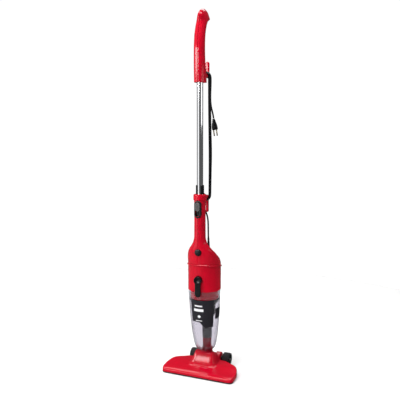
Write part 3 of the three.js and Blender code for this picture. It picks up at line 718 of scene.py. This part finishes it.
def lower_sleeve():
    """Round sleeve with a bead at its foot, the latch's window, two notches and the exhaust slots."""
    profile = [(48.8, 265.3), (49.1, 265), (50.6, 265), (51.2, 265.4), (51.3, 266.4), (51.2, 267.6),
               (51, 268), (51, 362), (48.8, 362)]
    sleeve = lathe("sleeve_fine", profile, BODY_Y, 160)
    sleeve = combine(sleeve, [below_ridge(-0.3)], "INTERSECT")
    tools = [plate("window", capsule(13.2, 289.3, 316.5), -30, -8),
             plate("stem_gap", capsule(10.6, 240, 300), -30, -13.4)]
    for x in (-15, 15):
        tools.append(block("notch", (x - 1.1, -30, 255), (x + 1.1, 0, 272)))
    for row in range(5):
        z = 286 + 8 * row
        slot = [(-24, z + 1.7), (-22.4, z), (22.4, z), (24, z + 1.7), (22.4, z + 3.4), (-22.4, z + 3.4)]
        tools.append(plate("slot", slot, BODY_Y + 30, BODY_Y + 70))
    return finish_piece(cut(sleeve, *tools), "lower_sleeve", angle=30)


lower_sleeve()


# ---- latch, button and switch ---------------------------------------------
def ball(name, centre, r, count=64):
    """A sphere."""
    x, y, z = centre
    rings = []
    for k in range(1, count // 2):
        a = math.pi * k / (count // 2)
        level = z - r * math.cos(a)
        around = r * math.sin(a)
        rings.append([(x + around * math.cos(t), y + around * math.sin(t), level)
                      for t in (2 * math.pi * i / count for i in range(count))])
    return outward(lofted(name, rings))


def latch():
    """Thumb latch: a scooped round pad on a flat stem."""
    pad = rounded(tube_between("latch_fine", (0, -21.5, 302.5), (0, -15, 302.5), 12.6, count=96), 1.1, 4)
    stem = rounded(plate("stem", capsule(9.3, 251, 300), -20.2, -15.2), 1.3, 4)
    made = join(pad, stem)
    bowl = ball("bowl", (0, -33.2, 304.6), 15.4)
    made = cut(made, bowl, tube_between("pin_hole", (-20, -18.5, 291), (20, -18.5, 291), 1.3, count=24))
    return finish_piece(made, "latch", angle=30)


latch()


def release_button():
    """Round domed button with a shallow step round its edge."""
    front, centre = -21, 0.001
    profile = [(centre, 0), (5, 0.12), (8, 0.55), (9.2, 1.0), (9.9, 1.7), (10.3, 2.6), (10.6, 3.4),
               (10.6, 10), (centre, 10)]
    rings = []
    for r, d in profile:
        rings.append([(r * math.cos(t), front + d, BUTTON_Z + r * math.sin(t))
                      for t in (2 * math.pi * i / 96 for i in range(96))])
    return finish_piece(outward(lofted("button_fine", rings)), "release_button")


release_button()


def housing_skin(gap):
    """The housing's neck, larger all round by a gap, as a cutting tool."""
    return stack("skin", spline([row for row in HOUSING if row[0] > 400], 6), -gap, 96)


bezel = cut(rounded(plate("bezel_fine", capsule(11, 494, 546.7), -20.3, -7), 1.2, 4),
            rounded(plate("bezel_window", capsule(8.2, 498.5, 543.5), -24, -5), 0.2), housing_skin(0.3))
finish_piece(bezel, "switch_bezel", angle=30)


def switch_slider():
    """Thumb slider with cross ribs."""
    grip = rounded(plate("slider_fine", capsule(7.4, 515, 541.5), -22.4, -18.2), 1.0, 4)
    made = join(grip, block("stub", (-1.8, -18.9, 520), (1.8, -13, 534)))
    tools = []
    across = Matrix.Rotation(math.pi / 2, 4, "Y") @ Matrix.Translation(-metres((0, 0, 0)))
    for i in range(5):
        half = 5.2 - 0.35 * abs(i - 2)
        gap = rounded(plate("rib_gap", capsule(0.75, -half, half), -23.4, -21.5), 0.15)
        gap.data.transform(Matrix.Translation(metres((0, 0, 521.5 + i * 3.4))) @ across)
        tools.append(gap)
    return finish_piece(cut(made, *tools), "switch_slider", angle=30)


switch_slider()


# ---- collar, tube, clip and hooks -----------------------------------------
# Profiles of (radius, height); rings close to an edge keep the shading of a long wall straight.
COLLAR = [(9.8, 547.3), (19.2, 547.3), (19.8, 547.7), (20, 548.6), (20, 550), (20, 560), (20, 561.4),
          (19.6, 563.2), (18.6, 564.5), (17, 565), (11, 565), (10.2, 564.6), (9.8, 563.8)]
TUBE_WALL = [(8.4, 525), (9.3, 525), (9.5, 525.4), (9.5, 527), (9.5, 953), (9.5, 954.6), (9.3, 955),
             (8.4, 955)]
CLIP = [(9.8, 565.6), (12.2, 565.3), (12.5, 565.8), (12.5, 567), (12.5, 589.5), (12.5, 590.4),
        (11.8, 592), (10.2, 592), (9.8, 591)]
finish_piece(lathe("collar_fine", COLLAR, count=128), "collar", angle=30)
finish_piece(lathe("tube_fine", TUBE_WALL, count=128), "chrome_tube", angle=30)
clip = cut(lathe("clip_fine", CLIP), block("opening", (-6, -60, 550), (6, -2, 600)))
finish_piece(rounded(clip, 0.5), "tube_clip", angle=30)


def cord_hook(node, z, root, up, tip, tip_round):
    """A half-round arm that carries the cord's turns, and a flat tip that keeps them on it."""
    r, end = 12.5, 57
    arc = [(r * math.cos(t), z - up * r + up * r * math.sin(t))
           for t in (math.pi * k / 48 for k in range(49))]
    made = join(rounded(plate(node + "_fine", arc, root, end), 0.7),
                rounded(plate("tip", tip, end - 1, end + 5), tip_round, 5))
    return finish_piece(made, node, angle=30)


cord_hook("upper_hook", 925, 14.5, 1, capsule(6, 911, 960), 1.6)
cord_hook("lower_hook", 545, 22.5, -1, capsule(4.4, 503, 557), 1.4)
post = join(rounded(block("lower_post_fine", (-10, 11.5, 528), (10, 22.2, 547)), 0.8),
            block("web", (-10, 20.6, 530), (10, 22.2, 557.5)),
            tube_between("disc", (0, 20.6, 557.5), (0, 22.2, 557.5), 10, count=64))
finish_piece(post, "lower_hook_post", angle=30)


# ---- dust cup and what it holds -------------------------------------------
# Rows of (height, radius, middle).
CUP = [(66, 18, 45), (67.2, 22.4, 45), (69, 25.5, 45), (72, 28.9, 44.8), (76, 31.2, 44.6), (94, 36.2, 44),
       (140, 42.5, 41.6), (200, 47, 38.8), (262, 49.9, 37), (264.5, 50, 37)]
CUP_WALL = 2.3
NECK_R = 48.2


def dust_cup():
    """Clear bucket: rounded foot, tapered wall, a step and a plain neck inside the sleeve."""
    outer = [(z, r, r, y) for z, r, y in spline(CUP, 6)]
    outer += [(z, NECK_R, NECK_R, BODY_Y) for z in (264.9, 276)]
    inner = [(68.4, 16, 45)] + [row for row in CUP if 70 < row[0] < 260]
    hollow = [(z, r - CUP_WALL, r - CUP_WALL, y) for z, r, y in spline(inner, 6)]
    hollow += [(z, NECK_R - 1.8, NECK_R - 1.8, BODY_Y) for z in (266, 280)]
    made = cut(stack("cup_fine", outer, 0, 128), stack("cup_hollow", hollow, 0, 128),
               tube_between("duct_hole", (0, DUCT_Y, 30), (0, DUCT_Y, 110), 14.3))
    return finish_piece(made, "dust_cup", angle=30)


dust_cup()


def cup_wall(z, gap=0.12):
    """Radius and centre of the cup's outside at a height."""
    zs, rs, ys = zip(*spline(CUP, 6))
    return np.interp(z, zs, rs) + gap, np.interp(z, zs, ys)


def cup_print(name, material, edge_low, edge_high, start, end, thick=0.2, columns=96, rows=12):
    """A thin printed patch on the cup between two edge curves and two angles from the front."""
    outer, inner = [], []
    for c in range(columns + 1):
        a = math.radians(start + (end - start) * c / columns)
        for r in range(rows + 1):
            z = edge_low(a) + (edge_high(a) - edge_low(a)) * r / rows
            radius, y = cup_wall(z)
            for skin, rr in ((outer, radius + thick), (inner, radius)):
                skin.append((rr * math.sin(a), y - rr * math.cos(a), z))
    count = len(outer)
    faces = []
    side = rows + 1
    for c in range(columns):
        for r in range(rows):
            a, b = c * side + r, (c + 1) * side + r
            faces.append((a, b, b + 1, a + 1))
            faces.append((count + a, count + a + 1, count + b + 1, count + b))
    rim = ([c * side for c in range(columns + 1)] + [columns * side + r for r in range(1, side)]
           + [c * side + rows for c in range(columns - 1, -1, -1)] + list(range(rows - 1, 0, -1)))
    for a, b in zip(rim, rim[1:] + rim[:1]):
        faces.append((a, count + a, count + b, b))
    made = outward(thing(name, outer + inner, faces))
    return trim_piece(made, "cup", material)


def print_foot(a):
    """The lower edge of the front print drops towards the right."""
    return 168 - 17 * ease((a + 0.05) / 0.45)


cup_print("front_print", LABEL_DARK, print_foot, lambda a: 238, -35, 57)
cup_print("side_print", LABEL_DARK,
          lambda a: 173 + 3 * math.sin(a), lambda a: 210, 66, 118)
for i, (low, high, wide) in enumerate(((218.5, 223, 15), (203, 211.5, 19), (172, 174.2, 13))):
    cup_print(f"print_bar_{i + 1}", LABEL_LIGHT,
              lambda a, low=low: low, lambda a, high=high: high, -wide - 2, wide - 2, 0.3, 32, 4)
cup_print("print_diamond", LABEL_LIGHT,
          lambda a: 181.5 + 45 * abs(a), lambda a: 192.5 - 45 * abs(a), -7, 7, 0.3, 16, 4)

DUCT_SLEEVE = [(14.1, 100.6), (14.6, 100), (15.2, 100.4), (15.4, 101.2), (15.4, 146.2), (15, 147.2),
               (14.1, 147.4)]
DUCT = [(12.2, 50.4), (12.8, 50), (13.6, 50), (14, 50.5), (14, 147.2), (13.6, 148), (12.6, 148),
        (12.2, 147.4)]
FILTER_RING = [(39, 238.4), (39.6, 238), (43.2, 238), (44, 238.8), (44, 246), (43.2, 247), (43.2, 250),
               (44, 251), (44, 277.6), (43.4, 278.2), (39, 278.2)]
black_duct = lathe("duct_sleeve", DUCT_SLEEVE, DUCT_Y)
trim_piece(black_duct, "cup", MATERIALS["black_plastic"])
finish_piece(lathe("duct_fine", DUCT, DUCT_Y), "inlet_duct", angle=30)
finish_piece(lathe("filter_ring_fine", FILTER_RING, BODY_Y, 128), "filter_ring", angle=30)


def filter_cage():
    """Black cage with a fine screen of slots."""
    outer = [(178, 30, 30, 38), (184, 33, 33, 38), (212, 34.5, 34.5, 38), (219, 37.5, 37.5, 38),
             (228, 43.5, 43.5, 37.9), (234, 45.6, 45.6, 37.8), (237.6, 45.8, 45.8, 37.7)]
    inner = [(182, 30, 30, 38), (238.5, 34.5, 34.5, 37)]
    made = cut(stack("cage_fine", spline(outer, 5), 0, 96), stack("cage_hollow", inner, 0, 96))
    middle = Matrix.Translation(metres((0, 37.5, 0)))
    slots = 24
    tools = []
    for i in range(slots):
        slot = block("slot", (26, -2.6, 190), (60, 2.6, 209))
        turn = Matrix.Rotation(2 * math.pi * i / slots, 4, "Z")
        slot.data.transform(middle @ turn @ Matrix.Translation(-metres((0, 0, 0))))
        tools.append(slot)
    return finish_piece(cut(made, *tools), "filter_cage", angle=30)


filter_cage()


# ---- elbow ----------------------------------------------------------------
def elbow():
    """Swivelling suction bend, one smooth casting with a socket for the duct."""
    knee = (0, 62, 47)
    made = join(tube_between("elbow_fine", on_axle(-19), on_axle(19), 15.5, count=64),
                tube_between("bend", on_axle(0), knee, 15.3, 17, 64),
                tube_between("socket", (0, DUCT_Y, 43), (0, DUCT_Y, 63.6), 17.6, count=64))
    made = blended(made, 0.9, 6)
    made = cut(made, tube_between("bore", (0, DUCT_Y, 47), (0, DUCT_Y, 90), 14.3, count=64),
               tube_between("inside", on_axle(0), knee, 12.4),
               tube_between("barrel_bore", on_axle(-16), on_axle(16), 12.4),
               tube_between("pin_hole", on_axle(-40), on_axle(40), 3.25, count=32))
    return finish_piece(made, "elbow", angle=40)


elbow()


# ---- floor head -----------------------------------------------------------
HEAD_HALF = 117
HEAD_FRONT = -36
HEAD_CORNER = 13
BACK_EDGE = [(0, 72), (44, 72), (60, 71), (77, 61), (103, 44), (113, 26), (117, 8)]
LIP_Z = 15.5
DECK_Z = 25
COVER_LOW = 4.3
HUMP_RISE = 36
HUMP_FALL = 12
ROLL_STEPS = 14
RIM_STEPS = 7
RIM = 7              # rounding of the back edge


def front_edge(x):
    """The cover's straight front, with a quarter circle at each corner."""
    into = min(max(abs(x) - (HEAD_HALF - HEAD_CORNER), 0), HEAD_CORNER)
    return HEAD_FRONT + HEAD_CORNER - math.sqrt(HEAD_CORNER ** 2 - into ** 2)


BACK_LINE = spline(BACK_EDGE, 10)


def back_edge(x):
    """How far back the cover reaches at a distance from its middle."""
    across, reach = zip(*BACK_LINE)
    return float(np.interp(min(abs(x), HEAD_HALF), across, reach))


def deck(x, y):
    """Height of the cover's top."""
    side = 1 - ease((abs(x) - 96) / 30) * 0.35
    slope = LIP_Z + (DECK_Z - LIP_Z) * ease((y + 24) / 60) * side
    hump = 1 - ease((abs(x) - 26) / 20)
    return slope + hump * (HUMP_RISE * ease((y - 2) / 36) - HUMP_FALL * ease((y - 40) / 30))


def roll_depth(x):
    """How far the front roll reaches back: most in the middle."""
    return 10 + 12 * max(1 - (x / 112) ** 2, 0)


def cover_section(x, inset, low):
    """Front face, front roll, a crease, the deck, and the rounded back edge."""
    y0, y1 = front_edge(x) + inset, back_edge(x) - inset
    face = 10.5
    deep = roll_depth(x)
    top = LIP_Z + 3.8 * deep / 22
    points = [(x, y0 + 0.5, low), (x, y0, low + 0.5), (x, y0, face - inset)]
    for k in range(1, ROLL_STEPS + 1):
        a = math.pi / 2 * k / ROLL_STEPS * 0.92
        points.append((x, y0 + deep * (1 - math.cos(a)) / (1 - math.cos(math.pi * 0.46)),
                       face - inset + (top - face) * math.sin(a)))
    crease = y0 + deep
    points.append((x, crease + 0.5, top - 0.55 - inset))
    points.append((x, crease + 1.2, top - 0.75 - inset))
    start, last = crease + 2.2, y1 - RIM
    base = top - 0.6
    lift = deck(x, start) - base
    for i in range(61):
        y = start + (last - start) * i / 60
        points.append((x, y, deck(x, y) - lift * (1 - ease((y - start) / 34)) - inset))
    rim = deck(x, last)
    for k in range(1, RIM_STEPS + 1):
        a = math.pi / 2 * k / RIM_STEPS
        points.append((x, last + RIM * math.sin(a), rim - inset - 8 * (1 - math.cos(a))))
    points += [(x, y1, low + 0.5), (x, y1 - 0.5, low)]
    return points


def deck_top(x, y):
    """Height of the finished cover at a point behind the crease."""
    section = cover_section(x, 0, COVER_LOW)[3 + ROLL_STEPS:-RIM_STEPS - 2]
    return float(np.interp(y, [p[1] for p in section], [p[2] for p in section]))


def sweep(name, path, r, sides=16):
    """A round bar along a path, with domed ends."""
    path = [Vector(p) for p in path]
    rings = []
    for i, p in enumerate(path):
        along = (path[min(i + 1, len(path) - 1)] - path[max(i - 1, 0)]).normalized()
        aim = along.to_track_quat("Z", "Y")
        left = min(i, len(path) - 1 - i)
        rr = r * (0.25, 0.75, 1)[min(left, 2)]
        rings.append([p + aim @ Vector((rr * math.cos(t), rr * math.sin(t), 0))
                      for t in (2 * math.pi * k / sides for k in range(sides))])
    return outward(lofted(name, rings))


def head_block(name, inset, low):
    """The cover's outside, or its hollow with an inset; sections lie closer near the ends."""
    reach = HEAD_HALF - inset
    right = [reach * i / 56 * 0.9 for i in range(57)]
    right += [reach * (1 - 0.1 * (1 - k / 24) ** 2) for k in range(1, 25)]
    stations = [-x for x in reversed(right[1:])] + right
    scale = HEAD_HALF / reach
    rings = [[(p[0] / scale, p[1], p[2]) for p in cover_section(x * scale, inset, low)] for x in stations]
    return outward(lofted(name, rings))


def head_cover():
    """Moulded cover with a rounded lip and a hump over the elbow's bay."""
    made = cut(head_block("head_cover_fine", 0, COVER_LOW), head_block("hollow", 2.2, COVER_LOW - 5))
    made = cut(made, block("bay", (-21, 38, -5), (21, 200, 90)))
    return finish_piece(made, "head_cover", angle=38)


head_cover()


def hump_ribs():
    """Two moulded arcs across the hump's foot and the rim of its middle panel."""
    side = [(-21 - 0.5 * k, 24 - k) for k in range(10)]
    steps = [k / 24 for k in range(-24, 25)]
    rim = side + [(26 * t, 12 + 2 * t * t) for t in steps] + [(-x, y) for x, y in reversed(side)]
    arc = [(24 * t, 8 + 1.5 * t * t) for t in steps]
    for name, path in (("hump_panel_rim", rim), ("hump_arc", arc)):
        on_deck = [(x, y, deck_top(x, y) + 0.1) for x, y in path]
        trim_piece(sweep(name, on_deck, 0.9), "floor_head", MATERIALS["red_plastic"])


hump_ribs()


def bumper():
    """Rubber strip round the front edge, with a rounded outer face."""
    path = [(-HEAD_HALF, -18)]
    straight = HEAD_HALF - HEAD_CORNER
    for side, first in ((-1, math.pi), (1, -math.pi / 2)):
        for k in range(25):
            a = first + math.pi / 2 * k / 24
            path.append((side * straight + HEAD_CORNER * math.cos(a),
                         HEAD_FRONT + HEAD_CORNER + HEAD_CORNER * math.sin(a)))
    path.append((HEAD_HALF, -18))
    section = [(-2.4, 1.4), (-2.4, 3.8), (0.1, 3.9), (0.5, 3.5), (0.6, 2.6), (0.5, 1.7), (0.1, 1.3)]
    rings = []
    for i, (x, y) in enumerate(path):
        before, after = path[max(i - 1, 0)], path[min(i + 1, len(path) - 1)]
        along = Vector((after[0] - before[0], after[1] - before[1])).normalized()
        out = Vector((along.y, -along.x))
        rings.append([(x + out.x * d, y + out.y * d, z) for d, z in section])
    return finish_piece(outward(lofted("bumper_fine", rings)), "front_bumper", angle=40)


bumper()


def ear_outline():
    """Side view of a bearing ear, round about the axle."""
    r = 19.5
    arc = [(AXLE_Y + r * math.cos(t), AXLE_Z + r * math.sin(t))
           for t in (-1.05 + 2.8 * k / 40 for k in range(41))]
    return [(72.4, 1.5), (101, 1.5)] + arc + [(72.4, 28)]


def pivot_bracket():
    """Base strip with an ear on each side of the elbow."""
    made = rounded(block("bracket_fine", (-36, 60.5, 1.5), (36, 101, 4)), 0.4)
    for low, high in ((-36, -20), (20, 36)):
        made = join(made, rounded(plate("ear", ear_outline(), low, high, "X"), 1.4, 4))
    made = cut(made, tube_between("bore", on_axle(-50), on_axle(50), 3.2))
    return finish_piece(made, "pivot_bracket", angle=30)


pivot_bracket()


# Profiles of (radius, distance from the wheel's inner face).
WHEEL_X = 45         # a wheel's inner face
TYRE = [(15.3, 0), (18.6, 0), (19.6, 0.4), (20.3, 1.2), (20.5, 2.2), (20.5, 19.8), (20.3, 20.8),
        (19.6, 21.6), (18.6, 22), (15.3, 22)]
HUB = [(3.3, -8.6), (7.6, -8.6), (8, -8.2), (8, 2), (14.6, 2), (15, 2.4), (15, 20.6), (14.6, 21),
       (12, 21), (11.4, 20.6), (10.6, 18.9), (10, 18.6), (6.2, 18.6), (5.7, 18.9), (5.2, 21),
       (4.8, 21.4), (3.3, 21.5)]


def wheel_part(name, node, profile, side, count, groove=0.0):
    """A ring turned about the axle, with grooves across its tread if they have a depth."""
    rings = []
    for i in range(count):
        t = 2 * math.pi * i / count
        depth = groove if i % 6 in (0, 1) else 0.0
        ring = []
        for r, w in profile:
            rr = r - (depth if r > 20.2 else 0)
            ring.append((side * (WHEEL_X + w), AXLE_Y + rr * math.cos(t), AXLE_Z + rr * math.sin(t)))
        rings.append(ring)
    return finish_piece(outward(lofted(name, rings, "closed")), node, angle=25)


for label, side in (("left", -1), ("right", 1)):
    wheel_part(f"tyre_{label}_fine", f"wheel_tyre_{label}", TYRE, side, 240, 0.5)
    wheel_part(f"hub_{label}_fine", f"wheel_hub_{label}", HUB, side, 96)

# ---- CAD pieces that keep their shape get rounded edges and their material ----
EDGE_ROUND = 0.35
for name, node in NODES.items():
    node.data.materials.clear()
    node.data.materials.append(MATERIALS[SLOT_OF[name]])
    painted_edge_shade = node.modifiers.new("edges", "BEVEL")
    painted_edge_shade.width = EDGE_ROUND * MM
    painted_edge_shade.segments = 2
    painted_edge_shade.limit_method = "ANGLE"
    painted_edge_shade.angle_limit = math.radians(40)
    painted_edge_shade.harden_normals = True


# ---- floor, lights and surroundings ---------------------------------------
FLOOR_R = 1.3
BACK = Vector((-math.sin(TURN), math.cos(TURN), 0))
ACROSS = Vector((math.cos(TURN), math.sin(TURN), 0))
UP = Vector((0, 0, 1))


def floor():
    """A pale matt disc, which the object's gloss doesn't show."""
    turns = [math.pi * k / 48 for k in range(96)]
    rim = [(FLOOR_R * math.cos(t), FLOOR_R * math.sin(t), 0) for t in turns]
    made = thing("floor", rim, [tuple(range(len(rim)))], scale=False)
    paint = Paint("floor_paint", base_color=(0.86, 0.86, 0.86, 1), specular_ior_level=0.0)
    paint.bump((paint.noise(300.0, 3.0), 0.05, 0.0002))
    made.data.materials.append(paint.material)
    made.visible_glossy = False


floor()


def area(name, place, turn, size, radiance, mirrored=True):
    """A rectangular light of a width and height in metres, which gloss shows or not."""
    data = bpy.data.lights.new(name, "AREA")
    data.energy = math.pi * size[0] * size[1] * radiance
    data.shape = "RECTANGLE"
    data.size, data.size_y = size
    light = bpy.data.objects.new(name, data)
    light.location = place
    light.rotation_euler = turn
    light.visible_glossy = mirrored
    bpy.context.scene.collection.objects.link(light)


def softbox(name, bearing, low, high, width, radiance, away=1.9, mirrored=True):
    """An upright softbox, by its bearing in degrees from the viewing direction, right being positive."""
    turn = TURN + math.radians(bearing)
    place = (away * math.sin(turn), -away * math.cos(turn), (low + high) / 2)
    area(name, place, (math.pi / 2, 0, turn), (width, high - low), radiance, mirrored)


softbox("key", -58, 1.1, 1.46, 2.2, 12.0)
softbox("soft_left", -60, 1.5, 2.2, 1.6, 3.5, mirrored=False)
softbox("left", -60, 0.02, 1.1, 1.5, 0.85)
softbox("card", 61, 0.80, 1.09, 1.6, 1.7)
area("top", UP * 2.4 - BACK * 0.5, (0, 0, TURN), (2.4, 0.36), 13.0)
area("front", UP * 2.3 - BACK * 1.5 - ACROSS * 0.4, (math.radians(35), 0, TURN), (2.4, 1.2), 1.4, False)
area("floor_light", UP * 2.6 + BACK * 1.3, (0, 0, TURN), (3.2, 1.2), 4.5)


def surroundings():
    """White behind everything, and dim grey, lighter on the view's left, for light and reflections."""
    world = bpy.data.worlds.new("studio")
    world.use_nodes = True
    tree = world.node_tree
    place = tree.nodes.new("ShaderNodeTexCoord")
    across = tree.nodes.new("ShaderNodeVectorMath")
    across.operation = "DOT_PRODUCT"
    across.inputs[1].default_value = -ACROSS
    tree.links.new(place.outputs["Generated"], across.inputs[0])
    ramp = tree.nodes.new("ShaderNodeValToRGB")
    for stop, level, position in zip(ramp.color_ramp.elements, (0.10, 0.32), (0.2, 0.9)):
        stop.color = (level, level, level, 1)
        stop.position = position
    tree.links.new(across.outputs["Value"], ramp.inputs["Fac"])
    ray = tree.nodes.new("ShaderNodeLightPath")
    seen = tree.nodes.new("ShaderNodeMath")
    seen.operation = "MAXIMUM"
    tree.links.new(ray.outputs["Is Camera Ray"], seen.inputs[0])
    tree.links.new(ray.outputs["Is Transmission Ray"], seen.inputs[1])
    mix = tree.nodes.new("ShaderNodeMixRGB")
    mix.inputs["Color2"].default_value = (1.03, 1.03, 1.03, 1)
    tree.links.new(seen.outputs[0], mix.inputs["Fac"])
    tree.links.new(ramp.outputs[0], mix.inputs["Color1"])
    tree.links.new(mix.outputs[0], tree.nodes["Background"].inputs["Color"])
    bpy.context.scene.world = world


surroundings()
bpy.context.scene.view_settings.view_transform = "Standard"
